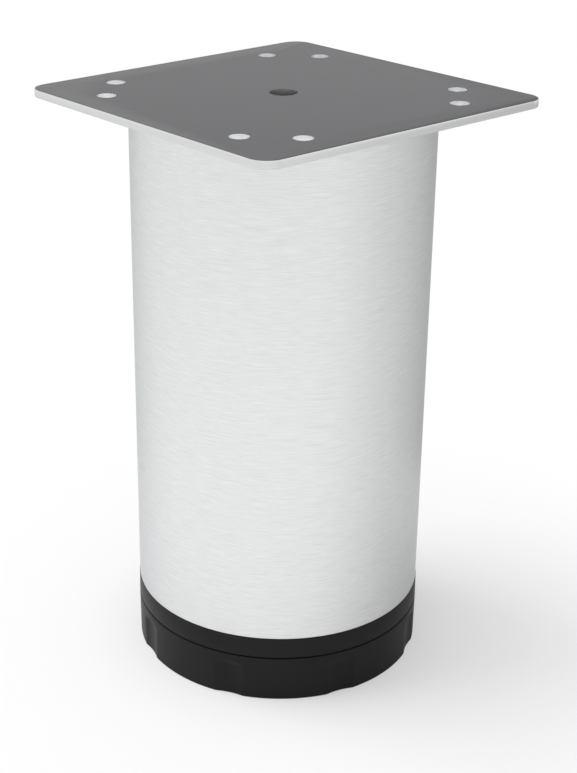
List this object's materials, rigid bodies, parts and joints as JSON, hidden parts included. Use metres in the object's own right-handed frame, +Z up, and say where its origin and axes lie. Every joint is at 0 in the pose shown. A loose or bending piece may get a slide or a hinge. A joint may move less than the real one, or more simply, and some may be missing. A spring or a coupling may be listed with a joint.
{
  "type": "bed leg",
  "caption": "Round brushed steel bed leg with a square screw-on plate and a black plastic foot that screws up and down.",
  "frame": {"origin": "on the floor, at the axis of the leg", "axes": "+Z up along the leg's axis, +X and +Y along the sides of the square plate"},
  "size_m": [0.09, 0.09, 0.1505],
  "materials": {
    "plate_steel": "fine satin, grey on top, bright at the cut edges",
    "brushed_tube": "brushed round the tube, low contrast",
    "weld_metal": "rippled weld bead",
    "black_insert": "fine moulded grain, satin",
    "zinc_steel": "bright zinc plating",
    "black_foot": "fine moulded grain, satin"
  },
  "bodies": {
    "leg": {"mounting_plate": "plate_steel", "leg_tube": "brushed_tube", "weld_runs": "weld_metal", "tube_insert": "black_insert", "insert_nut": "zinc_steel"},
    "spindle": {"foot_spindle": "zinc_steel"},
    "foot": {"adjusting_foot": "black_foot"}
  },
  "joints": [
    {"name": "foot_height", "type": "slide", "parent": "leg", "child": "spindle", "axis": [0, 0, 1], "range_m": [-0.015, 0]},
    {"name": "foot_turn", "type": "hinge", "parent": "spindle", "child": "foot", "pos_m": [0, 0, 0], "axis": [0, 0, 1], "range_deg": [-3600, 0]}
  ],
  "couplings": [
    {"joint": "foot_height", "follows": "foot_turn", "m_per_rad": 0.00023873}
  ]
}
